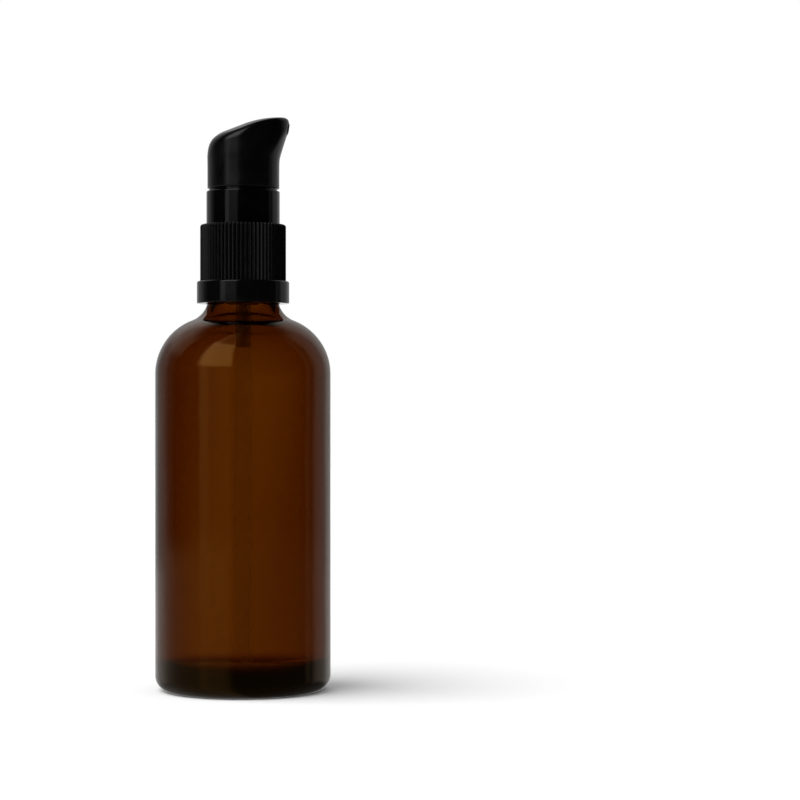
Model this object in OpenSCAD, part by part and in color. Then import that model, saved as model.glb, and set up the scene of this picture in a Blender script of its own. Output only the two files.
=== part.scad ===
// Amber glass bottle with a screw-on lotion pump.
// Origin: centre of the standing face. +Z up, the beak points to +X. Millimetres.

/* [Bottle] */
// Outside diameter of the glass body
body_d = 45; // [43:0.5:47]
// Height from the standing face to the top of the glass lip
bottle_h = 110; // [108:0.5:112]
// Height where the straight wall ends and the shoulder begins
shoulder_z = 81.1; // [78:0.1:83]
// Radius of the round shoulder
shoulder_r = 14.7; // [14:0.1:15]
// Radius of the hollow sweep from shoulder to neck
sweep_r = 6.45; // [6:0.05:7]
// Radius of the outside heel
heel_r = 3.9; // [3:0.1:5]
// Thickness of the side wall
wall_t = 2.2; // [1.8:0.1:2.6]
// Height of the inside floor
floor_z = 6; // [4:0.5:8]
// Height of the hollow under the base
push_up = 1.2; // [0.8:0.1:2]

/* [Neck] */
// Radius of the neck below the thread
neck_r = 8.93; // [8.9:0.01:9]
// Radius of the neck between the thread ridges
thread_root_r = 8; // [7.9:0.05:8.1]
// Radius of the glass thread's crest
thread_crest_r = 8.9; // [8.8:0.05:8.95]
// Radius of the mouth
mouth_r = 5.6; // [5.5:0.05:5.8]
// Rise of the thread in one turn
pitch = 3; // [2.8:0.1:3.2]

/* [Collar] */
// Radius over the ribs
collar_r = 11; // [10.9:0.05:11.1]
// Radius of the plain band at the foot of the collar
band_r = 11.85; // [11.6:0.05:12.2]
// Lower edge of the band
band_z = 99.15; // [98.8:0.05:99.4]
// Height of the band with its bevel
band_h = 5.75; // [5:0.05:6.5]
// Top of the collar
collar_top = 119.4; // [118.6:0.1:120]
// Number of ribs round the collar
rib_n = 66; // [48:1:80]
// Height of a rib above its groove
rib_h = 0.45; // [0.3:0.05:0.5]

/* [Pump] */
// How far the head goes down
stroke = 4.5; // [3:0.1:4.5]
// Inside radius of the pump cylinder
cylinder_r = 3.9; // [3.85:0.01:3.95]
// Radius of the hollow stem
stem_r = 2.6; // [2.55:0.01:2.62]
// Radius of the inlet ball
inlet_ball_r = 1.2; // [1.1:0.05:1.2]
// Radius of the outlet ball
outlet_ball_r = 1.4; // [1.3:0.05:1.5]
// Turns of the return spring
spring_turns = 8; // [6:1:11]
// Wire diameter of the return spring
wire_d = 0.6; // [0.4:0.05:0.7]
// Outside radius of the suction tube
tube_r = 2.5; // [2.4:0.05:2.8]
// Lower end of the suction tube
tube_low = 8; // [7.5:0.5:15]

/* [Head] */
// Outside radius of the glossy sleeve
sleeve_r = 9.4; // [9.2:0.02:9.4]
// Top of the glossy sleeve
sleeve_top = 128; // [127.6:0.1:128.2]
// Gap between sleeve and head
groove_h = 0.6; // [0.4:0.1:0.8]
// Radius of the body seen inside the groove
groove_r = 8.68; // [8.5:0.02:8.9]
// Radius of the head's round part
head_r = 9.27; // [9.2:0.01:9.4]
// Height where the front face of the beak starts to lean out
crease_z = 136.3; // [136:0.1:137]
// Top of the head
head_top = 146.87; // [146.4:0.01:147.2]
// How far the tip of the beak stands out from the axis
beak_x = 11.8; // [11.6:0.1:12]
// Lean of the front face from upright, in degrees
beak_lean = 17.8; // [16:0.2:19]
// Radius of the beak seen from above
beak_r = 6.2; // [5.5:0.1:6.6]
// Slope of the head's top, in degrees
top_slope = 17; // [15:0.5:18]
// Radius of the outlet hole
outlet_r = 1.1; // [0.8:0.05:1.2]

/* [Hidden] */
$fn = 96;

// Clearances
fit = 0.02;      // pieces pressed together
slide_fit = 0.04; // pieces that slide or turn in one another

// Glass
body_r = body_d / 2;
arc_n = 24;
shoulder_cx = body_r - shoulder_r;
sweep_cx = neck_r + sweep_r;
sweep_end = acos((sweep_cx - shoulder_cx) / (shoulder_r + sweep_r));
sweep_cz = shoulder_z + (shoulder_r + sweep_r) * sin(sweep_end);
foot_r = body_r - heel_r - 3.6;
push_up_r = (foot_r * foot_r + push_up * push_up) / (2 * push_up);
inner_r = body_r - wall_t;
inner_heel_r = 5;
lip_round = 0.6;
thread_turns = 1.5;
thread_z = bottle_h - 6.4;

// Stack of pieces on the lip
gasket_t = 0.8;
flange_t = 1;
deck_t = 1;
flange_z = bottle_h + gasket_t;
deck_z = flange_z + flange_t;
deck_top = deck_z + deck_t;
collar_bore = thread_crest_r + 0.35;
sleeve_bore = sleeve_r + 0.22;
bevel_h = 1.25;
skirt_low = deck_top + 0.2 + stroke;

// Pump cylinder, short enough to stay inside the collar
barrel_r = cylinder_r + 1;
barrel_floor = deck_z - 12.2;
barrel_low = barrel_floor - 0.3;
shoulder_under = barrel_floor - 1.3;
inlet_r = 0.9;
inlet_top_r = 1.9;
nipple_r = tube_r - 0.6;
nipple_low = shoulder_under - 10;
inlet_ball_z = barrel_floor - inlet_top_r + inlet_ball_r * sqrt(2) + 0.03;
ball_lift = 0.6;
cage_z = inlet_ball_z + inlet_ball_r + ball_lift + 0.1;
cage_t = 0.8;

// Moving stack
guide_low = deck_z - 1.5;
guide_top = deck_top - 0.2;
stop_top = guide_low - 0.1;
stop_t = 0.6;
stem_low = stop_top - 2.7;
stem_bore = stem_r - 1.1;
plug_t = 0.8;
socket_r = 4;
web_z = sleeve_top - 1.4;
spring_r = socket_r + 0.3 + wire_d / 2;
stem_top = sleeve_top - 2.5;
chamber_r = outlet_ball_r + 0.3;
seat_z = stem_top - 2.9;
outlet_ball_z = seat_z - chamber_r + outlet_ball_r * sqrt(2) + 0.03;

// Head
head_low = sleeve_top + groove_h;
socket_low = deck_top + stroke + 0.9;
spigot_top = sleeve_top + 8.5;
cap_r = head_r - 1.32;
cap_top = sleeve_top + 4.9;
bead_z = sleeve_top + 2.7;
bead_h = 0.2;
head_wall = 1.4;
back_round = 6.5;
back_cx = back_round - head_r - 0.06;
back_cz = head_top - 9.37;
front_round = 15.7;
tip_round = 1.2;
crown_r = 14;
crown_flat = 0.15;
beak_cx = beak_x - beak_r;
beak_side = acos((head_r - beak_r) / beak_cx);
channel_z = head_top - 4.4;
channel_rise = 7;
channel_r = 1;
insert_r = outlet_r + 0.4;

// Points along an arc, from angle a to angle b
function arc(cx, cz, r, a, b, n = arc_n) =
    [for (i = [0:n]) let (t = a + (b - a) * i / n) [cx + r * cos(t), cz + r * sin(t)]];

// Closed tube along rings of points; every ring has the same number of points
module skin(rings) {
    m = len(rings[0]);
    n = len(rings);
    points = [for (ring = rings) each ring];
    sides = [for (i = [0:n - 2], j = [0:m - 1])
        let (k = (j + 1) % m) each [
            [i * m + j, (i + 1) * m + k, i * m + k],
            [i * m + j, (i + 1) * m + j, (i + 1) * m + k]]];
    first = [for (j = [0:m - 1]) j];
    last = [for (j = [m - 1:-1:0]) (n - 1) * m + j];
    polyhedron(points, concat(sides, [first], [last]), convexity = 6);
}

// One ridge of a screw thread. base_r lies inside the wall it stands on, crest_r is its free edge.
module thread_ridge(base_r, crest_r, base_w, crest_w, z, from, to) {
    step = 15;
    n = round((to - from) / step);
    run_out = 3;
    flip = crest_r > base_r ? 1 : -1;
    rings = [for (i = [0:n])
        let (a = from + i * step,
             rise = min(1, (i + 0.2) / run_out, (n - i + 0.2) / run_out),
             r = base_r + (crest_r - base_r) * rise,
             h = z + pitch * a / 360,
             section = [[base_r, h - base_w], [r, h - crest_w], [r, h + crest_w], [base_r, h + base_w]])
        [for (j = [0:3]) let (p = section[flip > 0 ? 3 - j : j]) [p.x * cos(a), p.x * sin(a), p.y]]];
    skin(rings);
}

module glass_bottle() {
    hollow = [for (i = [0:6])
        let (r = foot_r * i / 6) [r, push_up - push_up_r + sqrt(push_up_r * push_up_r - r * r)]];
    outside = concat(
        hollow,
        arc(body_r - heel_r, heel_r, heel_r, -90, 0, 12),
        arc(shoulder_cx, shoulder_z, shoulder_r, 0, sweep_end),
        arc(sweep_cx, sweep_cz, sweep_r, 180 + sweep_end, 180, 14),
        [[neck_r, sweep_cz + 0.4], [thread_root_r, sweep_cz + 1.3]],
        arc(thread_root_r - lip_round, bottle_h - lip_round, lip_round, 0, 90, 6));
    inside = concat(
        arc(mouth_r + lip_round, bottle_h - lip_round, lip_round, 90, 180, 6),
        [[mouth_r, sweep_cz + 1.8]],
        arc(sweep_cx, sweep_cz, sweep_r + wall_t, 180, 180 + sweep_end, 14),
        arc(shoulder_cx, shoulder_z, shoulder_r - wall_t, sweep_end, 0),
        arc(inner_r - inner_heel_r, floor_z + inner_heel_r, inner_heel_r, 0, -90, 12),
        [[0, floor_z]]);
    color([0.35, 0.15, 0.03, 0.6]) {
        rotate_extrude() polygon(concat(outside, inside));
        thread_ridge(thread_root_r - 0.3, thread_crest_r, 1.05, 0.4, thread_z, 0, 360 * thread_turns);
    }
}

// What the grooves between the ribs take away, as a flat outline
module groove_outline() {
    p = 360 / rib_n;
    root = collar_r - rib_h;
    crest = collar_r + 0.3;
    difference() {
        circle(collar_r + 1);
        polygon([for (i = [0:rib_n - 1], q = [[-0.34, root], [-0.14, crest], [0.14, crest], [0.34, root]])
            let (a = (i + q.x) * p) [q.y * cos(a), q.y * sin(a)]]);
    }
}

module screw_collar() {
    band_top = band_z + band_h;
    top_round = 0.9;
    foot_bore = sleeve_r + 0.2;
    shape = concat(
        [[foot_bore, band_z], [band_r - 0.45, band_z], [band_r, band_z + 0.65]],
        arc(band_r - 0.3, band_top - bevel_h, 0.3, 0, 50, 4),
        [[collar_r + 0.02, band_top], [collar_r, band_top + 0.05]],
        arc(collar_r - top_round, collar_top - top_round, top_round, 0, 90, 8),
        [[sleeve_bore + 0.2, collar_top], [sleeve_bore, collar_top - 0.2], [sleeve_bore, deck_top]],
        [[cylinder_r + 1.5, deck_top], [cylinder_r + 1.5, deck_z + fit], [collar_bore, deck_z + fit]],
        [[collar_bore, band_z + 2.2], [foot_bore, band_z + 1.8]]);
    color([0.05, 0.05, 0.055]) {
        difference() {
            rotate_extrude() polygon(shape);
            translate([0, 0, band_top + 0.15]) linear_extrude(collar_top - band_top) groove_outline();
        }
        thread_ridge(collar_bore + 0.3, thread_crest_r - 0.6, 1.02, 0.35, thread_z - pitch / 2, 90, 600);
    }
}

module neck_gasket() {
    color([0.85, 0.85, 0.83]) rotate_extrude()
        polygon([[barrel_r + 0.1, bottle_h + fit], [thread_root_r - 0.1, bottle_h + fit],
                 [thread_root_r - 0.1, flange_z], [barrel_r + 0.1, flange_z]]);
}

module pump_housing() {
    shape = [
        [inlet_r, nipple_low], [nipple_r - 0.2, nipple_low], [nipple_r, nipple_low + 0.5],
        [nipple_r, shoulder_under], [barrel_r - 1.3, shoulder_under], [barrel_r, barrel_low],
        [barrel_r, flange_z], [thread_root_r + 0.4, flange_z], [thread_root_r + 0.4, deck_z],
        [cylinder_r, deck_z], [cylinder_r, barrel_floor], [inlet_top_r, barrel_floor],
        [inlet_r, barrel_floor - inlet_top_r + inlet_r]];
    vent_r = 0.4;
    color([0.92, 0.92, 0.9]) difference() {
        rotate_extrude() polygon(shape);
        translate([0, 0, flange_z - 2]) rotate([0, 90, 0]) cylinder(h = barrel_r + 1, r = vent_r);
    }
}

module stem_guide() {
    bore = stem_r + 0.05;
    color([0.92, 0.92, 0.9]) rotate_extrude() polygon([
        [bore, guide_low], [cylinder_r - fit, guide_low], [cylinder_r - fit, deck_z],
        [barrel_r + 0.3, deck_z], [barrel_r + 0.3, guide_top], [stem_r + 0.8, guide_top],
        [stem_r + 0.8, deck_z - 0.3], [bore, deck_z - 0.3]]);
}

module guide_seal() {
    color([0.75, 0.77, 0.8]) rotate_extrude() polygon([
        [stem_r + slide_fit, deck_z - 0.3], [stem_r + 0.8 - fit, deck_z - 0.3],
        [stem_r + 0.8 - fit, deck_top - 0.5], [stem_r + 0.4, deck_top - 0.5],
        [stem_r + slide_fit, deck_top - 0.8]]);
}

module ball_cage() {
    color([0.9, 0.9, 0.9]) {
        difference() {
            translate([0, 0, cage_z]) cylinder(h = cage_t, r = cylinder_r - fit);
            translate([0, 0, cage_z - 1]) cylinder(h = cage_t + 2, r = 2.5);
        }
        translate([-2.7, -0.5, cage_z]) cube([5.4, 1, cage_t]);
        translate([-0.5, -2.7, cage_z]) cube([1, 5.4, cage_t]);
    }
}

module inlet_ball() {
    color([0.8, 0.8, 0.82]) translate([0, 0, inlet_ball_z]) sphere(inlet_ball_r);
}

// Spring wire with one closed turn at each end
module return_spring() {
    steps = 14;
    n = spring_turns * steps;
    sides = 6;
    wire_r = wire_d / 2;
    low = guide_top + wire_r + fit;
    high = web_z - wire_r - fit;
    closed = wire_d + 0.03;
    open = (high - low - 2 * closed) / (spring_turns - 2);
    rings = [for (i = [0:n])
        let (t = i / steps,
             a = 360 * t,
             z = low + closed * min(t, 1) + open * min(max(t - 1, 0), spring_turns - 2)
                 + closed * max(t - spring_turns + 1, 0))
        [for (j = [0:sides - 1]) let (b = -360 * j / sides, r = spring_r + wire_r * cos(b))
            [r * cos(a), r * sin(a), z + wire_r * sin(b)]]];
    color([0.75, 0.76, 0.78]) skin(rings);
}

// Closes the foot of the stem and holds the piston on it
module stem_plug() {
    bore = 0.7;
    disc_r = cylinder_r - 0.5;
    shank_r = stem_bore - fit;
    plug_low = stem_low - plug_t;
    color([0.9, 0.9, 0.9]) rotate_extrude() polygon([
        [bore, plug_low], [disc_r - 0.3, plug_low], [disc_r, plug_low + 0.3], [disc_r, stem_low],
        [shank_r, stem_low], [shank_r, stem_low + 3.5], [bore, stem_low + 3.5]]);
}

module piston_seal() {
    low = stem_low + 0.1;
    high = stop_top - stop_t - 0.1;
    lip = cylinder_r - slide_fit;
    waist = cylinder_r - 0.35;
    color([0.82, 0.86, 0.9]) rotate_extrude() polygon([
        [stem_r + slide_fit, low], [lip, low], [lip, low + 0.4], [waist, low + 0.7],
        [waist, high - 0.7], [lip, high - 0.4], [lip, high], [stem_r + slide_fit, high]]);
}

module pump_stem() {
    web = 0.9;
    color([0.92, 0.92, 0.9]) rotate_extrude() polygon([
        [stem_bore, stem_low], [stem_r, stem_low], [stem_r, stop_top - stop_t],
        [stem_r + 0.7, stop_top - stop_t], [stem_r + 0.7, stop_top], [stem_r, stop_top],
        [stem_r, stem_top], [chamber_r, stem_top], [chamber_r, seat_z],
        [web, seat_z - chamber_r + web], [web, seat_z - chamber_r + web - 0.6],
        [stem_bore, seat_z - chamber_r + web - 1.2]]);
}

module outlet_ball() {
    color([0.8, 0.8, 0.82]) translate([0, 0, outlet_ball_z]) sphere(outlet_ball_r);
}

module actuator_body() {
    rim = 0.7;
    bore = 1.3;
    shape = concat(
        [[sleeve_r - 1.2, skirt_low], [sleeve_r - 0.2, skirt_low], [sleeve_r, skirt_low + 0.2]],
        arc(sleeve_r - rim, sleeve_top - rim, rim, 0, 90, 8),
        [[groove_r, sleeve_top], [groove_r, head_low], [cap_r, head_low]],
        [[cap_r, bead_z - 0.4], [cap_r + bead_h, bead_z], [cap_r, bead_z + 0.4]],
        [[cap_r, cap_top - 0.3], [cap_r - 0.3, cap_top], [cap_r - 1, cap_top], [cap_r - 1, sleeve_top + 0.2]],
        [[stem_r, sleeve_top + 0.2], [stem_r, spigot_top], [bore, spigot_top], [bore, stem_top]],
        [[stem_r + fit, stem_top], [stem_r + fit, socket_low], [socket_r, socket_low]],
        [[socket_r, web_z], [sleeve_r - 1.2, web_z]]);
    color([0.04, 0.04, 0.045]) rotate_extrude() polygon(shape);
}

module spout_seal() {
    color([0.2, 0.2, 0.2]) translate([0, 0, spigot_top]) difference() {
        cylinder(h = 0.6, r = stem_r - fit);
        translate([0, 0, -1]) cylinder(h = 3, r = 1.4);
    }
}

// Side outline of the head, moved in by t
module head_side(t) {
    low = head_low - (t > 0 ? 5 : 0);
    back = arc(back_cx, back_cz, back_round - t, 180, 90 + top_slope, 10);
    front_cz = head_top - front_round;
    slope_end = back_cx + (front_cz - back_cz) / tan(top_slope)
        + (front_round - back_round) / sin(top_slope);
    front = arc(slope_end, front_cz, front_round - t, 90 + top_slope, 90, 8);
    tip = arc(beak_x - tip_round, head_top - tip_round, tip_round - min(t, tip_round - 0.1), 90, 0, 6);
    rotate([90, 0, 0]) linear_extrude(40, center = true)
        polygon(concat([[back_cx - back_round + t, low]], back, front, tip, [[beak_x - t, low]]));
}

// Round crown of the head, a cylinder lying along the slope of its top
module head_crown(t) {
    slope_x = back_cx - back_round * sin(top_slope);
    slope_z = back_cz + back_round * cos(top_slope);
    translate([slope_x, 0, slope_z]) rotate([0, 90 - top_slope, 0])
        translate([crown_r - crown_flat, 0, 0]) cylinder(h = 80, r = crown_r - t, center = true);
}

// Outline of the head seen from above
module head_plan() {
    circle(head_r);
    translate([beak_cx, 0]) circle(beak_r);
    polygon([for (q = [[0, head_r, 1], [beak_cx, beak_r, 1], [beak_cx, beak_r, -1], [0, head_r, -1]])
        [q.x + q.y * cos(beak_side), q.z * q.y * sin(beak_side)]]);
}

// Round below the crease, leaning out over it towards the beak
module head_solid() {
    reach = (head_top - crease_z) * tan(beak_lean);
    ledge = 0.02;
    intersection() {
        union() {
            translate([0, 0, head_low]) cylinder(h = crease_z - head_low, r = head_r);
            intersection() {
                translate([0, 0, crease_z]) linear_extrude(head_top - crease_z) head_plan();
                translate([0, 0, crease_z])
                    cylinder(h = head_top - crease_z, r1 = head_r + ledge, r2 = head_r + ledge + reach);
            }
        }
        head_side(0);
        head_crown(0);
    }
}

// Lies along the outlet channel, starting a distance from the upright axis
module along_channel(start, length, r) {
    translate([0, 0, channel_z]) rotate([0, 90 - channel_rise, 0])
        translate([0, 0, start]) cylinder(h = length, r = r);
}

module head_shell() {
    bore = 1.3;
    color([0.06, 0.06, 0.065]) difference() {
        head_solid();
        difference() {
            intersection() {
                rotate_extrude() polygon([[0, head_low - 1], [cap_r + fit, head_low - 1],
                    [cap_r + fit, bead_z - 0.4], [cap_r + bead_h + fit, bead_z],
                    [cap_r + fit, bead_z + 0.4], [cap_r + fit, head_top], [0, head_top]]);
                head_side(head_wall);
                head_crown(head_wall);
            }
            translate([0, 0, sleeve_top + 3]) cylinder(h = 20, r = stem_r + 1.1);
            along_channel(0, 12, insert_r + 0.9);
        }
        translate([0, 0, sleeve_top + 2]) cylinder(h = spigot_top + 0.6 - sleeve_top - 2, r = stem_r + fit);
        translate([0, 0, spigot_top]) cylinder(h = channel_z + 0.4 - spigot_top, r = bore);
        along_channel(-0.4, 14, channel_r);
        along_channel(beak_x - 4, 8, insert_r + fit);
    }
}

module nozzle_insert() {
    proud = 0.2;
    reach = (head_top - crease_z) * tan(beak_lean);
    color([0.03, 0.03, 0.035]) difference() {
        intersection() {
            along_channel(beak_x - 4, 8, insert_r);
            translate([0, 0, crease_z])
                cylinder(h = head_top - crease_z, r1 = head_r + proud, r2 = head_r + proud + reach);
        }
        along_channel(beak_x - 6, 12, outlet_r);
    }
}

module dip_tube() {
    high = shoulder_under - 0.05;
    cut = 30;
    low = tube_low - tube_r * tan(cut) - 0.2;
    color([0.85, 0.9, 0.95, 0.5]) difference() {
        translate([0, 0, low]) cylinder(h = high - low, r = tube_r);
        translate([0, 0, low - 1]) cylinder(h = high - low + 2, r = nipple_r + fit);
        translate([0, 0, tube_low]) rotate([0, cut, 0]) translate([-20, -20, -20]) cube([40, 40, 20]);
    }
}

glass_bottle();
screw_collar();
neck_gasket();
pump_housing();
stem_guide();
guide_seal();
ball_cage();
inlet_ball();
return_spring();
stem_plug();
piston_seal();
pump_stem();
outlet_ball();
actuator_body();
spout_seal();
head_shell();
nozzle_insert();
dip_tube();
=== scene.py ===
"""Amber glass bottle with a black lotion pump: the looks round the CAD frame.

Shapes are worked out in millimetres, in the frame's own axes, and turned into metres when a mesh is made.
"""

import math

import bmesh
import bpy
import numpy as np
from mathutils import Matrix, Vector


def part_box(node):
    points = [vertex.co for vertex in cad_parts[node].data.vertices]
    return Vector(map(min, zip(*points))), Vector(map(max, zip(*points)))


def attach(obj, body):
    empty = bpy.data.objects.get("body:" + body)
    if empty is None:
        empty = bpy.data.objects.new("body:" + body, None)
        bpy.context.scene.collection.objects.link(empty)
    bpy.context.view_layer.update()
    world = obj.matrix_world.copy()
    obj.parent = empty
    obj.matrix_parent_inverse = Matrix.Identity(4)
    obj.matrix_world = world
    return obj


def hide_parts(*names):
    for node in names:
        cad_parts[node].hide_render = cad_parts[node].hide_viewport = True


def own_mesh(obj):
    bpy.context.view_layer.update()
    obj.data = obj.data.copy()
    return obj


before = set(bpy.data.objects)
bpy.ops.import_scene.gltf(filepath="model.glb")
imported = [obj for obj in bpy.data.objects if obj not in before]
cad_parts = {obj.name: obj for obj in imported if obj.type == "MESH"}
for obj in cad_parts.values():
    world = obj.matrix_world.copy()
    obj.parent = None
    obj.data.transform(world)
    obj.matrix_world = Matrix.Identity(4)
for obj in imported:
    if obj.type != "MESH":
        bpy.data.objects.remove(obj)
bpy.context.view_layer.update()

MM = 0.001
SHARP = math.radians(38)  # edges that bend more than this stay sharp
WELD = 0.001  # points of one mesh nearer than this, in millimetres, are the same point


# ---------------------------------------------------------------- places from the frame


class Extent:
    """The extents of a CAD node in millimetres; r is half its width."""

    def __init__(self, node):
        low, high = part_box(node)
        self.back = low.x / MM
        self.front = high.x / MM
        self.low = low.z / MM
        self.top = high.z / MM
        self.r = high.y / MM


GLASS = Extent("glass_bottle")
COLLAR = Extent("screw_collar")
SLEEVE = Extent("actuator_body")
HEAD = Extent("head_shell")
HOUSING = Extent("pump_housing")
SPRING = Extent("return_spring")
WALL = 2.2  # of the glass
BAND_H = 5.75  # height of the plain band at the foot of the collar


# ---------------------------------------------------------------- outlines


def smooth(t):
    t = np.clip(t, 0.0, 1.0)
    return t * t * (3 - 2 * t)


def arc(cx, cz, r, start, end, steps):
    """Points on an arc, angles in degrees."""
    angles = np.radians(np.linspace(start, end, steps + 1))
    return [(cx + r * math.cos(a), cz + r * math.sin(a)) for a in angles]


def rounded(corners, closed=True, step=12):
    """A polyline through corners (x, z, fillet radius), each corner rounded by its radius."""
    count = len(corners)
    points = []
    for i, (x, z, fillet) in enumerate(corners):
        if fillet == 0 or (not closed and i in (0, count - 1)):
            points.append((x, z))
            continue
        here = Vector((x, z))
        before = Vector(corners[i - 1][:2]) - here
        after = Vector(corners[(i + 1) % count][:2]) - here
        reach = min(before.length, after.length) * 0.48
        before.normalize()
        after.normalize()
        half = before.angle(after) / 2
        r = min(fillet, reach * math.tan(half))
        centre = here + (before + after).normalized() * (r / math.sin(half))
        first = here + before * (r / math.tan(half)) - centre
        last = here + after * (r / math.tan(half)) - centre
        a = math.atan2(first.y, first.x)
        turn = (math.atan2(last.y, last.x) - a + math.pi) % (2 * math.pi) - math.pi
        steps = max(2, round(abs(math.degrees(turn)) / step))
        points += [
            (centre.x + r * math.cos(a + turn * k / steps), centre.y + r * math.sin(a + turn * k / steps))
            for k in range(steps + 1)
        ]
    return points


def refined(points, longest):
    """The same outline with its long stretches divided."""
    result = [points[0]]
    for a, b in zip(points, points[1:]):
        parts = max(1, math.ceil(math.dist(a, b) / longest))
        result += [tuple(np.array(a) + (np.array(b) - np.array(a)) * k / parts) for k in range(1, parts + 1)]
    return result


def without_repeats(points):
    """The same outline without points that lie on the one before."""
    return points[:1] + [q for p, q in zip(points, points[1:]) if math.dist(p, q) > WELD]


# ---------------------------------------------------------------- meshes


def mesh_object(name, points, faces, sharp=SHARP):
    """A smooth-shaded object from points in millimetres."""
    mesh = bpy.data.meshes.new(name)
    mesh.from_pydata([tuple(p) for p in np.asarray(points, float) * MM], [], faces)
    mesh.validate()
    mesh.update()
    mesh.shade_smooth()
    mesh.set_sharp_from_angle(angle=sharp)
    piece = bpy.data.objects.new(name, mesh)
    bpy.context.scene.collection.objects.link(piece)
    return piece


def grid_faces(rows, columns, wrap_rows):
    """Quads of a grid that closes on itself along its columns, and along its rows if wrap_rows."""
    faces = []
    for i in range(rows if wrap_rows else rows - 1):
        below, above = i * columns, (i + 1) % rows * columns
        for j in range(columns):
            k = (j + 1) % columns
            faces.append((below + j, below + k, above + k, above + j))
    return faces


def turned(name, profile, columns=128, change=None, sharp=SHARP):
    """A turned piece. profile is a list of (r, z), either closed or from axis to axis.

    It runs so that the material lies on its left. change(r, z, angle) may move the radius of a row.
    """
    profile = without_repeats(profile)
    on_axis = profile[0][0] < 1e-6 and profile[-1][0] < 1e-6
    rows = profile[1:-1] if on_axis else profile
    angles = np.linspace(0, 2 * math.pi, columns, endpoint=False)
    rings = []
    for r, z in rows:
        radius = np.full(columns, float(r)) if change is None else change(r, z, angles)
        rings.append(np.column_stack([radius * np.cos(angles), radius * np.sin(angles), np.full(columns, z)]))
    points = np.concatenate(rings)
    faces = grid_faces(len(rows), columns, not on_axis)
    if on_axis:
        first, last = len(points), len(points) + 1
        points = np.concatenate([points, [(0, 0, profile[0][1]), (0, 0, profile[-1][1])]])
        top = (len(rows) - 1) * columns
        for j in range(columns):
            k = (j + 1) % columns
            faces.append((first, k, j))
            faces.append((last, top + j, top + k))
    return mesh_object(name, points, faces, sharp)


def cut(piece, tool):
    """Takes the closed piece tool away from another; the tool is used up."""
    modifier = piece.modifiers.new("cut", "BOOLEAN")
    modifier.operation = "DIFFERENCE"
    modifier.solver = "EXACT"
    modifier.object = tool
    apply_modifiers(piece)
    bpy.data.objects.remove(tool)


def apply_modifiers(piece):
    graph = bpy.context.evaluated_depsgraph_get()
    mesh = bpy.data.meshes.new_from_object(piece.evaluated_get(graph))
    piece.modifiers.clear()
    piece.data = mesh
    mesh.shade_smooth()
    mesh.set_sharp_from_angle(angle=SHARP)


def weld(piece):
    """Joins points that boolean cuts left almost in one place, and drops the slivers between them."""
    shape = bmesh.new()
    shape.from_mesh(piece.data)
    bmesh.ops.remove_doubles(shape, verts=shape.verts, dist=WELD * MM)
    bmesh.ops.triangulate(shape, faces=[face for face in shape.faces if len(face.verts) > 4])
    bmesh.ops.dissolve_degenerate(shape, edges=shape.edges, dist=WELD * MM)
    shape.to_mesh(piece.data)
    shape.free()
    piece.data.set_sharp_from_angle(angle=SHARP)


def finish_piece(piece, body, node, material):
    """Sets what the piece moves with, what it stands for and what it is made of."""
    piece.data.materials.clear()
    piece.data.materials.append(material)
    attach(piece, body)
    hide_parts(node)


# ---------------------------------------------------------------- material tools


class Nodes:
    """Short calls for building a node tree."""

    def __init__(self, tree):
        self.tree = tree
        tree.nodes.clear()

    def add(self, kind, inputs=None, **settings):
        node = self.tree.nodes.new(kind)
        for name, value in settings.items():
            setattr(node, name, value)
        for name, value in (inputs or {}).items():
            self.feed(node.inputs[name], value)
        return node

    def feed(self, socket, value):
        if isinstance(value, bpy.types.NodeSocket):
            self.tree.links.new(value, socket)
        else:
            socket.default_value = value

    def math(self, operation, *values):
        node = self.add("ShaderNodeMath", operation=operation)
        for socket, value in zip(node.inputs, values):
            self.feed(socket, value)
        return node.outputs[0]

    def ramp(self, value, low, high, to_low=0.0, to_high=1.0):
        """Smooth step from to_low at low to to_high at high."""
        inputs = {"Value": value, "From Min": low, "From Max": high, "To Min": to_low, "To Max": to_high}
        return self.add("ShaderNodeMapRange", inputs, interpolation_type="SMOOTHSTEP").outputs["Result"]

    def mix(self, factor, a, b):
        """Mixes two colours."""
        node = self.add("ShaderNodeMix", data_type="RGBA")
        self.feed(node.inputs[0], factor)
        self.feed(node.inputs[6], a)
        self.feed(node.inputs[7], b)
        return node.outputs[2]

    def turn_ramp(self, angle, low, high, to_high):
        """Smooth step of an angle, its ends given in degrees."""
        return self.ramp(angle, math.radians(low), math.radians(high), 0.0, to_high)

    def span(self, angle, low, full, still_full, high):
        """1 from full to still_full, 0 below low and above high, all in degrees."""
        rise = self.turn_ramp(angle, low, full, 1.0)
        return self.math("MULTIPLY", rise, self.turn_ramp(angle, high, still_full, 1.0))

    def sum(self, first, *others):
        for other in others:
            first = self.math("ADD", first, other)
        return first

    def place(self, stretch=(1, 1, 1)):
        """Place on the object, in millimetres, stretched along each axis."""
        where = self.add("ShaderNodeTexCoord").outputs["Object"]
        scale = tuple(s / MM for s in stretch)
        return self.add("ShaderNodeMapping", {"Vector": where, "Scale": scale}).outputs["Vector"]

    def noise(self, place, scale, detail=2.0, rough=0.5):
        inputs = {"Vector": place, "Scale": scale, "Detail": detail, "Roughness": rough}
        return self.add("ShaderNodeTexNoise", inputs).outputs["Fac"]

    def bump(self, height, depth):
        """Bump of a height field, its full depth in millimetres."""
        inputs = {"Height": height, "Strength": 1.0, "Distance": depth * MM}
        return self.add("ShaderNodeBump", inputs).outputs["Normal"]


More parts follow.
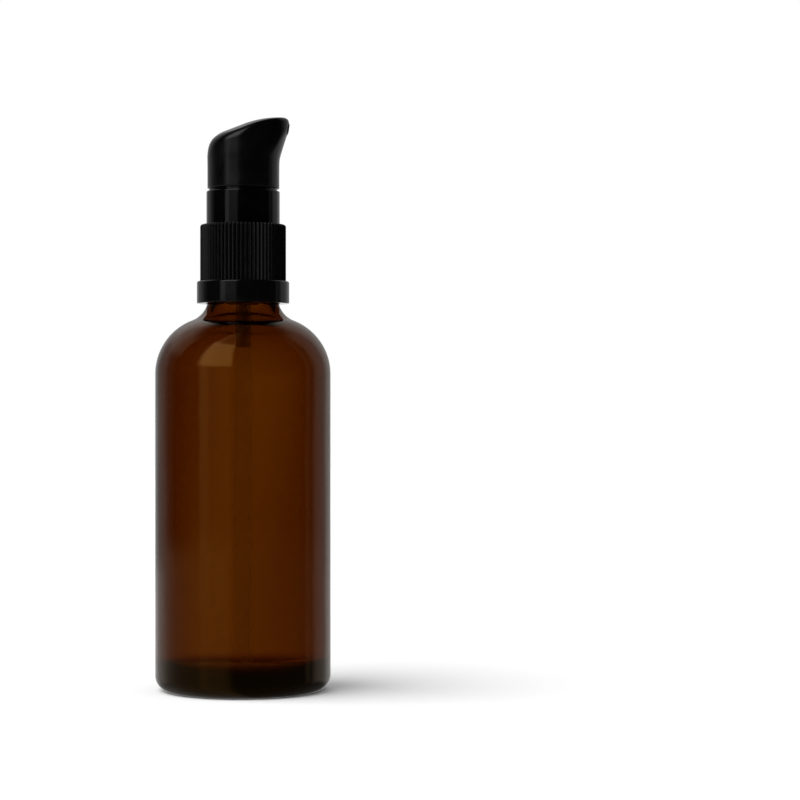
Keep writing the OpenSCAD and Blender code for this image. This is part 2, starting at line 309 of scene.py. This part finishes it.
def material(name):
    """A new material, with its nodes, the inputs of its shader and its output node."""
    result = bpy.data.materials.new(name)
    result.use_nodes = True
    nodes = Nodes(result.node_tree)
    shader = nodes.add("ShaderNodeBsdfPrincipled")
    output = nodes.add("ShaderNodeOutputMaterial", {"Surface": shader.outputs[0]})
    return result, nodes, shader.inputs, output


# ---------------------------------------------------------------- materials


def amber_glass():
    result, nodes, shader, output = material("amber_glass")
    place = nodes.place()
    shader["Base Color"].default_value = (1, 1, 1, 1)
    shader["Transmission Weight"].default_value = 1.0
    shader["IOR"].default_value = 1.52
    shader["Specular Tint"].default_value = (1.0, 0.52, 0.12, 1)
    haze = nodes.ramp(nodes.noise(place, 0.09, 3.0), 0.5, 0.8, 0.0, 0.012)
    nodes.feed(shader["Roughness"], haze)
    swell = nodes.noise(nodes.place((1, 1, 0.35)), 0.11, 1.0)
    nodes.feed(shader["Normal"], nodes.bump(swell, 0.12))
    through_wall = (0.28, 0.127, 0.02)  # shares of red, green and blue that pass one wall
    wall = WALL * MM
    density = [-math.log(share) / wall for share in through_wall]
    absorbed = nodes.add("ShaderNodeVolumeAbsorption")
    absorbed.inputs["Density"].default_value = max(density)
    absorbed.inputs["Color"].default_value = (*[1 - d / max(density) for d in density], 1)
    nodes.feed(output.inputs["Volume"], absorbed.outputs[0])
    return result


def black_plastic(name, shade, grain, depth, roughness, spread):
    """Moulded black plastic. grain is the scale of its fine texture, spread the change in its roughness."""
    result, nodes, shader, _ = material(name)
    place = nodes.place()
    fine = nodes.noise(place, grain, 4.0, 0.6)
    cloudy = nodes.noise(place, 0.22, 3.0)
    dark = tuple(0.7 * s for s in shade) + (1,)
    light = tuple(1.35 * s for s in shade) + (1,)
    nodes.feed(shader["Base Color"], nodes.mix(nodes.ramp(cloudy, 0.35, 0.65), dark, light))
    nodes.feed(shader["Roughness"], nodes.ramp(cloudy, 0.3, 0.7, roughness - spread, roughness + spread))
    nodes.feed(shader["Normal"], nodes.bump(fine, depth))
    shader["IOR"].default_value = 1.49
    return result


def collar_plastic():
    """One moulding with a polished band below satin ribs."""
    result, nodes, shader, _ = material("black_satin")
    place = nodes.place()
    height = nodes.add("ShaderNodeSeparateXYZ", {"Vector": place}).outputs["Z"]
    ribs = nodes.ramp(height, COLLAR.low + BAND_H - 0.15, COLLAR.low + BAND_H + 0.25)
    cloudy = nodes.noise(place, 0.3, 3.0)
    fine = nodes.noise(place, 7.0, 4.0, 0.6)
    nodes.feed(shader["Base Color"], nodes.mix(cloudy, (0.001, 0.001, 0.0012, 1), (0.002, 0.002, 0.0022, 1)))
    gloss = nodes.math("ADD", nodes.math("MULTIPLY", ribs, 0.13), 0.1)
    nodes.feed(shader["Roughness"], nodes.math("ADD", gloss, nodes.math("MULTIPLY", cloudy, 0.05)))
    nodes.feed(shader["Normal"], nodes.bump(nodes.math("MULTIPLY", fine, ribs), 0.012))
    shader["IOR"].default_value = 1.49
    return result


def milky_plastic():
    result, nodes, shader, _ = material("natural_plastic")
    place = nodes.place()
    cloudy = nodes.noise(place, 0.4, 3.0)
    nodes.feed(shader["Base Color"], nodes.mix(cloudy, (0.62, 0.63, 0.6, 1), (0.74, 0.75, 0.73, 1)))
    nodes.feed(shader["Roughness"], nodes.ramp(cloudy, 0.3, 0.7, 0.28, 0.4))
    nodes.feed(shader["Normal"], nodes.bump(nodes.noise(place, 5.0, 3.0), 0.01))
    shader["Transmission Weight"].default_value = 0.9
    shader["IOR"].default_value = 1.12
    shader["Subsurface Weight"].default_value = 0.2
    shader["Subsurface Radius"].default_value = (0.9, 0.9, 1.0)
    shader["Subsurface Scale"].default_value = MM
    return result


def soft_seal():
    result, nodes, shader, _ = material("seal")
    place = nodes.place()
    cells = nodes.add("ShaderNodeTexVoronoi", {"Vector": place, "Scale": 5.0}).outputs["Distance"]
    nodes.feed(shader["Base Color"], nodes.mix(cells, (0.56, 0.57, 0.57, 1), (0.7, 0.7, 0.7, 1)))
    nodes.feed(shader["Roughness"], nodes.ramp(nodes.noise(place, 0.8), 0.3, 0.7, 0.5, 0.65))
    nodes.feed(shader["Normal"], nodes.bump(cells, 0.03))
    return result


def clear_plastic():
    result, nodes, shader, _ = material("clear_tube")
    lines = nodes.noise(nodes.place((1, 1, 0.02)), 3.0, 3.0)
    shader["Base Color"].default_value = (0.97, 0.98, 0.98, 1)
    shader["Transmission Weight"].default_value = 0.97
    shader["IOR"].default_value = 1.06
    nodes.feed(shader["Roughness"], nodes.ramp(lines, 0.3, 0.7, 0.03, 0.08))
    nodes.feed(shader["Normal"], nodes.bump(lines, 0.01))
    return result


def bright_steel():
    result, nodes, shader, _ = material("steel")
    place = nodes.place()
    drawn = nodes.noise(nodes.place((1, 1, 6)), 4.0, 4.0, 0.6)
    colour = nodes.mix(nodes.noise(place, 0.7), (0.55, 0.55, 0.56, 1), (0.7, 0.7, 0.7, 1))
    nodes.feed(shader["Base Color"], colour)
    shader["Metallic"].default_value = 1.0
    nodes.feed(shader["Roughness"], nodes.ramp(drawn, 0.3, 0.7, 0.14, 0.28))
    nodes.feed(shader["Normal"], nodes.bump(drawn, 0.004))
    return result


AMBER = amber_glass()
MATTE = black_plastic(
    "black_matte", (0.0013, 0.0013, 0.0015), grain=6.0, depth=0.008, roughness=0.23, spread=0.03
)
GLOSS = black_plastic(
    "black_gloss", (0.0008, 0.0008, 0.001), grain=1.2, depth=0.004, roughness=0.085, spread=0.02
)
SATIN = collar_plastic()
MILKY = milky_plastic()
SOFT = soft_seal()
CLEAR = clear_plastic()
STEEL = bright_steel()


# ---------------------------------------------------------------- glass bottle

PITCH = 3.0
THREAD_Z = GLASS.top - 6.4  # start of the thread on the glass


def thread(z, angles, start, base_w, crest_w, first, last):
    """Height of a thread ridge, from 0 to 1, at height z round the neck.

    start is the height of its middle at 0 degrees. base_w and crest_w are half its width at the foot and at
    the crest. first and last are its ends in degrees.
    """
    height = np.zeros_like(angles)
    degrees = np.degrees(angles)
    for turn in range(int(last // 360) + 1):
        along = degrees + 360 * turn
        away = np.abs(z - start - PITCH * along / 360)
        ends = smooth((along - first) / 45) * smooth((last - along) / 45)
        ridge = smooth((base_w - away) / (base_w - crest_w))
        inside = (along >= first) & (along <= last)
        height = np.maximum(height, np.where(inside, ridge * ends, 0))
    return height


def glass_bottle():
    body_r = GLASS.r
    shoulder_r, shoulder_z = 14.7, 81.1
    shoulder_x = body_r - shoulder_r
    neck_r, root_r, crest_r, mouth_r = 8.93, 8.0, 8.9, 5.6
    sweep_r = 6.45
    sweep_x = neck_r + sweep_r
    sweep_end = math.degrees(math.acos((sweep_x - shoulder_x) / (shoulder_r + sweep_r)))
    sweep_z = shoulder_z + (shoulder_r + sweep_r) * math.sin(math.radians(sweep_end))
    heel_r, foot_r, push_up, floor_z = 3.9, 15.0, 1.2, 6.0
    lip = GLASS.top
    push_up_r = (foot_r**2 + push_up**2) / (2 * push_up)
    hollow = [
        (r, push_up - push_up_r + math.sqrt(push_up_r**2 - r * r))
        for r in np.linspace(0, foot_r - 0.3, 18)
    ]
    neck_low = sweep_z + 0.4
    outside = (
        hollow
        + [(foot_r + 0.3, 0)]
        + arc(body_r - heel_r, heel_r, heel_r, -90, 0, 14)
        + arc(shoulder_x, shoulder_z, shoulder_r, 0, sweep_end, 40)
        + arc(sweep_x, sweep_z, sweep_r, 180 + sweep_end, 180, 24)
        + [(neck_r, neck_low), (root_r + 0.5, neck_low + 0.45), (root_r, neck_low + 0.9)]
        + [(root_r, z) for z in np.arange(neck_low + 1.1, lip - 0.75, 0.2)]
        + arc(root_r - 0.6, lip - 0.6, 0.6, 0, 90, 6)
    )
    inner_r, corner_r = body_r - WALL, 3.2
    flat_r = inner_r - corner_r
    inside = (
        arc(mouth_r + 0.6, lip - 0.6, 0.6, 90, 180, 6)
        + refined([(mouth_r, lip - 1), (mouth_r, sweep_z + 3.4)], 1.5)
        + [(mouth_r + 0.3, sweep_z + 2.7), (mouth_r + 0.8, sweep_z + 1.9), (mouth_r + 1.05, sweep_z + 1)]
        + arc(sweep_x, sweep_z, sweep_r + WALL, 180, 180 + sweep_end, 20)
        + arc(shoulder_x, shoulder_z, shoulder_r - WALL, sweep_end, 0, 30)
        + refined([(inner_r, shoulder_z - 1), (inner_r, floor_z + corner_r + 0.2)], 1.6)
        + arc(inner_r - corner_r, floor_z + corner_r, corner_r, 0, -90, 14)
        + [(r, floor_z + 0.25 * (1 - (r / flat_r) ** 2)) for r in np.linspace(flat_r - 0.5, 0, 12)]
    )

    def wall_shape(r, z, angles):
        radius = np.full(len(angles), float(r))
        if abs(r - root_r) < 1e-6 and z < lip - 0.7:
            radius += (crest_r - root_r) * thread(
                z, angles, start=THREAD_Z, base_w=1.05, crest_w=0.4, first=0, last=540
            )
        if abs(r - inner_r) < 1e-6:
            radius += 0.07 * np.sin(3 * angles + 0.05 * z) + 0.05 * np.sin(2 * angles - 0.035 * z + 1.3)
        return radius

    piece = turned("glass_bottle_amber", outside + inside, 192, wall_shape)
    finish_piece(piece, "bottle", "glass_bottle", AMBER)


# ---------------------------------------------------------------- collar


def screw_collar():
    ribs, points_per_rib = 66, 8
    band_r, band_low, top = COLLAR.r, COLLAR.low, COLLAR.top
    band_top = band_low + BAND_H
    crest, root = 11.0, 10.55
    ridge_h = 0.93
    sleeve_bore, deck_top = SLEEVE.r + 0.22, HOUSING.top + 1.0
    deck_hole, bore, foot_bore = 5.4, 9.25, SLEEVE.r + 0.2
    outside = rounded(
        [
            (foot_bore, band_low, 0),
            (band_r, band_low, 0.3),
            (band_r, band_top - 0.1, 0.7),
            (crest + 0.05, band_top, 0),
        ],
        closed=False,
    )
    ribbed = refined([(crest, band_top + 0.02), (crest, top - 0.6)], 2.4)
    crown = arc(crest - 0.6, top - 0.6, 0.6, 0, 90, 8)
    inside = [(sleeve_bore + 0.25, top), (sleeve_bore + 0.07, top - 0.06), (sleeve_bore, top - 0.25)]
    inside += refined([(sleeve_bore, top - 0.4), (sleeve_bore, deck_top + 0.2)], 3)
    inside += [(sleeve_bore - 0.2, deck_top), (deck_hole + 0.1, deck_top), (deck_hole, deck_top - 0.1)]
    inside += [(deck_hole, HOUSING.top + 0.12), (deck_hole + 0.1, HOUSING.top + 0.02)]
    inside += [(bore, HOUSING.top + 0.02)]
    inside += [(bore, z) for z in np.arange(HOUSING.top - 0.2, band_low + 2.3, -0.22)]
    inside += [(bore, band_low + 2.2), (foot_bore, band_low + 1.8)]
    profile = outside + ribbed + crown + inside
    crest_share, root_share = 0.06, 0.3  # half a rib at its crest and root, as shares of a pitch

    def shape(r, z, angles):
        radius = np.full(len(angles), float(r))
        if z > band_top and r > root and r <= crest + 1e-6:
            across = np.abs((angles / (2 * math.pi) * ribs + 0.5) % 1 - 0.5)
            rise = smooth((root_share - across) / (root_share - crest_share))
            radius = np.minimum(radius, root + (crest - root) * rise)
        if abs(r - bore) < 1e-6:
            radius -= ridge_h * thread(
                z, angles, start=THREAD_Z - PITCH / 2, base_w=1.02, crest_w=0.35, first=90, last=600
            )
        return radius

    piece = turned("screw_collar_moulding", profile, ribs * points_per_rib, shape, math.radians(50))
    finish_piece(piece, "collar", "screw_collar", SATIN)


# ---------------------------------------------------------------- head

CREASE_Z = 136.3  # where the round lower part starts to lean out
LEAN = math.radians(17.8)
SLOPE = 21.0  # of the top, in degrees
BACK_R = 8.5  # round of the back in the side view
BACK_OUT = 0.9  # how far that round would pass the back
BACK_DROP = 11.5  # its centre below the top
FRONT_R = 25.0  # round from the slope to the level front
CROWN_R = 22.0  # round of the top across the head
EDGE = 1.5  # blend of the top into the sides
BEAK_R = 6.2  # of the beak, seen from above
HEAD_R = -HEAD.back
CHANNEL_Z = HEAD.top - 4.4
CHANNEL_RISE = math.radians(7)


def smooth_max(a, b, width):
    overlap = np.maximum(width - np.abs(a - b), 0) / width
    return np.maximum(a, b) + overlap * overlap * width / 4


def corner(x, z, cx, cz, r, start, end):
    """Distance outside a rounded corner: a disc between the normals start and end, and its tangents."""
    dx, dz = x - cx, z - cz
    a, b = math.radians(start), math.radians(end)
    walls = np.maximum(dx * math.cos(a) + dz * math.sin(a), dx * math.cos(b) + dz * math.sin(b))
    middle = (a + b) / 2
    half = abs(b - a) / 2
    off = (np.arctan2(dz, dx) - middle + math.pi) % (2 * math.pi) - math.pi
    return np.where(np.abs(off) <= half, np.hypot(dx, dz), walls) - r


def beak_plan(x, y):
    """Distance outside the head seen from above: a large circle drawn out to a smaller one."""
    length = HEAD.front - BEAK_R
    b = (HEAD_R - BEAK_R) / length
    a = math.sqrt(1 - b * b)
    y = np.abs(y)
    along = a * x - b * y
    sides = a * y + b * x - HEAD_R
    tip = np.hypot(x - length, y) - BEAK_R
    return np.where(along < 0, np.hypot(x, y) - HEAD_R, np.where(along > a * length, tip, sides))


def head_distance(x, y, z, inset=0.0):
    """Below zero inside the head. inset moves the surface in."""
    height = z - CREASE_Z
    lean_start = 0.9
    lean = (height + np.sqrt(height**2 + lean_start**2)) / 2
    cone = (np.hypot(x, y) - HEAD_R - lean * math.tan(LEAN)) * math.cos(LEAN)
    round_and_beak = smooth_max(cone, beak_plan(x, y), 0.35)
    slope = math.radians(SLOPE)
    back_x = HEAD.back - BACK_OUT + BACK_R
    back_z = HEAD.top - BACK_DROP
    front_z = HEAD.top - FRONT_R
    front_x = back_x + (front_z - back_z) / math.tan(slope) + (FRONT_R - BACK_R) / math.sin(slope)
    side = corner(x, z, back_x, back_z, BACK_R, 180, 90 + SLOPE)
    side = np.maximum(side, corner(x, z, front_x, front_z, FRONT_R, 90 + SLOPE, 90))
    side = side + y * y / (2 * CROWN_R)
    return smooth_max(round_and_beak, side, EDGE) + inset


def ray_surface(distance, origin, directions, reach=20.0):
    """Where rays from the origin leave the shape, by halving."""
    near = np.zeros(len(directions))
    far = np.full(len(directions), reach)
    for _ in range(40):
        middle = (near + far) / 2
        p = origin + directions * middle[:, None]
        outside = distance(p[:, 0], p[:, 1], p[:, 2]) > 0
        far = np.where(outside, middle, far)
        near = np.where(outside, near, middle)
    return origin + directions * far[:, None]


def dome(name, distance, centre_x, split_z, low, columns, rows_up, rows_down, edge=0.0):
    """A closed piece bounded by a distance function above a flat underside at height low."""
    angles = np.linspace(0, 2 * math.pi, columns, endpoint=False)
    flat = np.column_stack([np.cos(angles), np.sin(angles), np.zeros(columns)])
    rings = []
    for t in np.linspace(0, 1, rows_down):
        z = low + edge + (split_z - low - edge) * t
        rings.append(ray_surface(distance, np.array([centre_x, 0, z]), flat))
    for t in np.linspace(0, 1, rows_up + 1)[1:-1]:
        rise = t * math.pi / 2
        directions = flat * math.cos(rise) + np.array([0, 0, math.sin(rise)])
        rings.append(ray_surface(distance, np.array([centre_x, 0, split_z]), directions))
    foot = rings[0]
    middle = np.array([centre_x, 0, low])
    inward = foot - np.array([centre_x, 0, low + edge])
    inward /= np.linalg.norm(inward, axis=1)[:, None]
    below = []
    for turn in np.radians([90, 67.5, 45, 22.5]) if edge else []:
        ring = foot - inward * edge * (1 - math.cos(turn))
        ring[:, 2] = low + edge * (1 - math.sin(turn))
        below.append(ring)
    if not edge:
        below.append(foot - inward * 0.5)
    rings = below + rings
    points = np.concatenate(rings)
    faces = grid_faces(len(rings), columns, False)
    bottom, top = len(points), len(points) + 1
    peak = ray_surface(distance, np.array([centre_x, 0, split_z]), np.array([[0.0, 0, 1]]))
    points = np.concatenate([points, [middle], peak])
    last = (len(rings) - 1) * columns
    for j in range(columns):
        k = (j + 1) % columns
        faces.append((bottom, k, j))
        faces.append((top, last + j, last + k))
    return mesh_object(name, points, faces)


def along_channel(name, profile, columns=48):
    """A turned piece laid along the outlet channel; its own height runs from the upright axis outwards."""
    piece = turned(name, profile, columns)
    co = np.array([v.co for v in piece.data.vertices])
    lean = math.pi / 2 - CHANNEL_RISE
    x = co[:, 0] * math.cos(lean) + co[:, 2] * math.sin(lean)
    z = -co[:, 0] * math.sin(lean) + co[:, 2] * math.cos(lean) + CHANNEL_Z * MM
    moved = np.column_stack([x, co[:, 1], z])
    piece.data.vertices.foreach_set("co", moved.ravel())
    piece.data.update()
    return piece


def rod(r, low, high):
    """Profile of a plain solid of revolution, used to cut or join."""
    return [(0, low), (r, low), (r, high), (0, high)]


def head_shell():
    low = HEAD.low
    piece = dome(
        "head_shell_moulding",
        head_distance,
        centre_x=1.5,
        split_z=137.0,
        low=low,
        columns=224,
        rows_up=100,
        rows_down=30,
        edge=0.3,
    )
    bore_r, wall = 7.97, 1.4
    post_r, channel_wall_r = 3.7, 2.4
    socket_r, riser_r, channel_r, seat_r = 2.62, 1.3, 1.0, 1.52

    def cavity_distance(x, y, z):
        return smooth_max(head_distance(x, y, z, wall), np.hypot(x, y) - bore_r, 0.8)

    cavity = dome(
        "cavity",
        cavity_distance,
        centre_x=0.5,
        split_z=136.0,
        low=low - 1,
        columns=96,
        rows_up=28,
        rows_down=10,
    )
    post = turned("post", rod(post_r, SLEEVE.low, HEAD.top), 64)
    cut(cavity, post)
    cut(cavity, along_channel("channel_wall", rod(channel_wall_r, 0.01, 12)))
    cut(piece, cavity)
    socket_top = 137.1
    cut(piece, turned("socket", rod(socket_r, 129, socket_top), 48))
    cut(piece, turned("riser", rod(riser_r, socket_top - 0.5, CHANNEL_Z + 0.4), 48))
    cut(piece, along_channel("channel", rod(channel_r, -0.4, 13)))
    cut(piece, along_channel("insert_seat", rod(seat_r, HEAD.front - 4, 14)))
    weld(piece)
    finish_piece(piece, "head", "head_shell", MATTE)


def nozzle_insert():
    """A short tube whose rolled lip lies on the front of the beak."""
    outlet_r, tube_r = 1.1, 1.5
    inner_end = HEAD.front - 4
    columns = 72
    angles = np.linspace(0, 2 * math.pi, columns, endpoint=False)
    axis = np.array([math.cos(CHANNEL_RISE), 0, math.sin(CHANNEL_RISE)])
    up = np.array([-math.sin(CHANNEL_RISE), 0, math.cos(CHANNEL_RISE)])
    start = np.array([0, 0, CHANNEL_Z])

    def face(r):
        """Distance along the channel to the head's surface, at radius r round it."""
        base = start + r * (np.outer(np.cos(angles), up) + np.outer(np.sin(angles), [0, 1, 0]))
        near, far = np.full(columns, 4.0), np.full(columns, 20.0)
        for _ in range(40):
            middle = (near + far) / 2
            p = base + axis * middle[:, None]
            outside = head_distance(p[:, 0], p[:, 1], p[:, 2]) > 0
            far = np.where(outside, middle, far)
            near = np.where(outside, near, middle)
        return far

    rings = []
    # (radius, how far it stands out of the head, or its place along the channel)
    section = [
        (tube_r, None, inner_end + 0.1),
        (tube_r, -0.3, None),
        (tube_r, 0.02, None),
        (tube_r - 0.04, 0.09, None),
        (tube_r - 0.12, 0.14, None),
        (outlet_r + 0.12, 0.14, None),
        (outlet_r + 0.04, 0.08, None),
        (outlet_r, 0.0, None),
        (outlet_r, -1.0, None),
        (outlet_r, None, inner_end),
        (tube_r - 0.1, None, inner_end),
    ]
    for r, proud, at in section:
        reach = face(r) + proud if at is None else np.full(columns, at)
        ring = start + r * (np.outer(np.cos(angles), up) + np.outer(np.sin(angles), [0, 1, 0]))
        rings.append(ring + axis * reach[:, None])
    faces = [f[::-1] for f in grid_faces(len(rings), columns, True)]
    piece = mesh_object("nozzle_insert_lip", np.concatenate(rings), faces)
    finish_piece(piece, "head", "nozzle_insert", GLOSS)


# ---------------------------------------------------------------- sleeve and pump


def actuator_body():
    sleeve_r, low = SLEEVE.r, SLEEVE.low
    inner_r = sleeve_r - 1.2
    sleeve_top = HEAD.low - 0.6
    web_z = sleeve_top - 1.4
    stem_r, socket_r = 2.62, 4.0
    groove_r, cap_r, bead_r, cap_inner_r = 8.68, 7.95, 8.15, 6.95
    spigot_r, bore_r, socket_low = 2.6, 1.3, 118.2
    stem_top = sleeve_top - 2.5
    cap_top = sleeve_top + 4.9
    profile = rounded(
        [
            (inner_r, low, 0.15),
            (sleeve_r, low, 0.25),
            (sleeve_r, sleeve_top, 0.7),
            (groove_r, sleeve_top, 0.12),
            (groove_r, HEAD.low, 0.1),
            (cap_r, HEAD.low, 0.1),
            (cap_r, sleeve_top + 2.3, 0.3),
            (bead_r, sleeve_top + 2.7, 0.2),
            (cap_r, sleeve_top + 3.1, 0.3),
            (cap_r, cap_top, 0.3),
            (cap_inner_r, cap_top, 0.3),
            (cap_inner_r, sleeve_top + 0.2, 0.6),
            (spigot_r, sleeve_top + 0.2, 0.5),
            (spigot_r, SLEEVE.top, 0.25),
            (bore_r, SLEEVE.top, 0.15),
            (bore_r, stem_top, 0.1),
            (stem_r, stem_top, 0.1),
            (stem_r, socket_low, 0.25),
            (socket_r, socket_low, 0.25),
            (socket_r, web_z, 0.5),
            (inner_r, web_z, 0.5),
        ]
    )
    piece = turned("actuator_sleeve", profile, 144)
    finish_piece(piece, "head", "actuator_body", GLOSS)


def return_spring():
    turns, wire_r = 8, 0.3
    coil_r = SPRING.r - wire_r
    low, high = SPRING.low + wire_r, SPRING.top - wire_r
    closed = 2 * wire_r + 0.03
    pitch = (high - low - 2 * closed) / (turns - 2)
    steps, sides = 40, 12
    rings = []
    for i in range(turns * steps + 1):
        t = i / steps
        z = low + closed * min(t, 1) + pitch * min(max(t - 1, 0), turns - 2) + closed * max(t - turns + 1, 0)
        a = 2 * math.pi * t
        outward = np.array([math.cos(a), math.sin(a), 0])
        for k in range(sides):
            b = 2 * math.pi * k / sides
            height = np.array([0, 0, z + wire_r * math.sin(b)])
            rings.append(outward * (coil_r + wire_r * math.cos(b)) + height)
    count = turns * steps + 1
    faces = grid_faces(count, sides, False)
    faces.append(tuple(range(sides))[::-1])
    faces.append(tuple(range((count - 1) * sides, count * sides)))
    piece = mesh_object("return_spring_coil", rings, [f[::-1] for f in faces])
    finish_piece(piece, "pump_core", "return_spring", STEEL)
    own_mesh(piece)


glass_bottle()
screw_collar()
head_shell()
nozzle_insert()
actuator_body()
return_spring()

# the nodes that keep their CAD mesh, and what each is made of
CARRIED = {
    "neck_gasket": SOFT,
    "guide_seal": SOFT,
    "piston_seal": SOFT,
    "spout_seal": SOFT,
    "pump_housing": MILKY,
    "stem_guide": MILKY,
    "ball_cage": MILKY,
    "stem_plug": MILKY,
    "pump_stem": MILKY,
    "inlet_ball": STEEL,
    "outlet_ball": STEEL,
    "dip_tube": CLEAR,
}
for name, finish in CARRIED.items():
    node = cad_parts[name]
    node.data.materials.clear()
    node.data.materials.append(finish)


# ---------------------------------------------------------------- studio


def studio_floor():
    """A large flat pale floor. Reflections and rays through the glass do not see it."""
    size, steps = 4.0, 24  # its side in metres, and the squares along it
    points = []
    for i in range(steps + 1):
        for j in range(steps + 1):
            points.append(((i / steps - 0.5) * size / MM, (j / steps - 0.5) * size / MM, 0.0))
    width = steps + 1
    faces = [
        (i * width + j, (i + 1) * width + j, (i + 1) * width + j + 1, i * width + j + 1)
        for i in range(steps)
        for j in range(steps)
    ]
    floor = mesh_object("studio_floor", points, faces)
    finish, nodes, shader, _ = material("studio_floor")
    place = nodes.place()
    cloudy = nodes.noise(place, 0.004, 2.0)
    nodes.feed(shader["Base Color"], nodes.mix(cloudy, (0.9, 0.9, 0.9, 1), (0.92, 0.92, 0.92, 1)))
    shader["Roughness"].default_value = 1.0
    shader["Specular IOR Level"].default_value = 0.0
    floor.data.materials.append(finish)
    floor.visible_glossy = False
    floor.visible_transmission = False


def studio_world():
    """White all round for what is seen directly and through the glass. What is mirrored sees a studio: a tall
    softbox and an overhead one at the front left, walls at both sides and behind, and a faint table glow.
    Matt surfaces are lit by the same grey from all round.

    azimuth is 0 at the front, positive to the left and 180 degrees behind; z is the sine of the elevation.
    """
    world = bpy.data.worlds.new("studio")
    bpy.context.scene.world = world
    world.use_nodes = True
    nodes = Nodes(world.node_tree)
    direction = nodes.add("ShaderNodeTexCoord").outputs["Generated"]
    split = nodes.add("ShaderNodeSeparateXYZ", {"Vector": direction})
    x, y, z = split.outputs[0], split.outputs[1], split.outputs[2]
    rays = nodes.add("ShaderNodeLightPath").outputs
    left = nodes.math("MULTIPLY", x, -1.0)
    front = nodes.math("MULTIPLY", y, -1.0)
    azimuth = nodes.math("ARCTAN2", left, front)
    right = nodes.math("MULTIPLY", azimuth, -1.0)
    softbox = nodes.span(azimuth, 12, 15, 53, 56)
    brighter_side = nodes.ramp(azimuth, math.radians(40), math.radians(43), 0.17, 0.44)
    softbox = nodes.math("MULTIPLY", softbox, brighter_side)
    softbox = nodes.math("MULTIPLY", softbox, nodes.ramp(z, -0.16, 0.06, 0.25, 1.0))
    overhead = nodes.math("MULTIPLY", nodes.span(azimuth, 8, 14, 54, 62), nodes.ramp(z, 0.19, 0.26, 0.0, 1.2))
    overhead = nodes.math("MULTIPLY", overhead, nodes.ramp(z, 0.88, 0.82))
    wall = nodes.sum(
        nodes.turn_ramp(azimuth, 95, 106, 0.08),
        nodes.turn_ramp(azimuth, 106, 126, 0.19),
        nodes.turn_ramp(azimuth, 136, 154, 0.16),
        nodes.turn_ramp(right, 91, 95, 0.1),
        nodes.turn_ramp(right, 99, 105, -0.07),
        nodes.turn_ramp(right, 103, 116, 0.25),
        nodes.turn_ramp(right, 134, 148, 0.16),
        nodes.ramp(y, 0.985, 0.998, 0.0, 0.6),
    )
    wall = nodes.math("MULTIPLY", wall, nodes.ramp(z, 0.9, 0.7))
    wall = nodes.math("MULTIPLY", wall, nodes.ramp(z, -0.4, -0.15))
    high_left = nodes.math("MULTIPLY", nodes.turn_ramp(azimuth, 93, 96, 0.25), nodes.ramp(z, 0.3, 0.5))
    high_left = nodes.math("MULTIPLY", high_left, nodes.ramp(z, 0.86, 0.7))
    low = nodes.ramp(z, -0.066, -0.095)
    near_table = nodes.math("MULTIPLY", low, nodes.turn_ramp(azimuth, 5, 25, 0.15))
    table = nodes.sum(near_table, nodes.math("MULTIPLY", low, 0.06), nodes.ramp(z, -0.2, -0.6, 0.0, 0.03))
    mirrored = nodes.sum(softbox, overhead, wall, high_left, table)
    ambient = 0.6
    diffuse = nodes.math("MULTIPLY", rays["Is Diffuse Ray"], ambient)
    not_diffuse = nodes.math("SUBTRACT", 1.0, rays["Is Diffuse Ray"])
    value = nodes.math("ADD", diffuse, nodes.math("MULTIPLY", mirrored, not_diffuse))
    direct = nodes.math("MAXIMUM", rays["Is Camera Ray"], rays["Is Transmission Ray"])
    value = nodes.math("ADD", nodes.math("MULTIPLY", value, nodes.math("SUBTRACT", 1.0, direct)), direct)
    background = nodes.add("ShaderNodeBackground", {"Color": (1, 1, 1, 1), "Strength": value})
    nodes.add("ShaderNodeOutputWorld", {"Surface": background.outputs[0]})
    world.cycles.sampling_method = "NONE"


def soft_sun():
    """One broad soft light from the front left."""
    lamp = bpy.data.lights.new("soft_key", "SUN")
    lamp.energy = 2.8
    lamp.angle = math.radians(70)
    holder = bpy.data.objects.new("soft_key", lamp)
    holder.rotation_euler = Vector((0.62, 0.25, -0.75)).to_track_quat("-Z", "Y").to_euler()
    holder.visible_glossy = False
    holder.visible_transmission = False
    bpy.context.scene.collection.objects.link(holder)


def camera():
    """Level, at about half the height of the bottle, which stands at the left of the picture."""
    eye = bpy.data.cameras.new("camera")
    eye.sensor_width = 36
    eye.lens = 104.2
    eye.clip_end = 20
    holder = bpy.data.objects.new("camera", eye)
    holder.location = (0.0403, -0.595, 0.0744)
    holder.rotation_euler = (math.pi / 2, 0, 0)
    bpy.context.scene.collection.objects.link(holder)
    bpy.context.scene.camera = holder


studio_floor()
studio_world()
soft_sun()
camera()
bpy.context.scene.view_settings.view_transform = "Standard"
bpy.context.scene.cycles.max_bounces = 24
bpy.context.scene.cycles.transmission_bounces = 20
bpy.context.scene.cycles.glossy_bounces = 8
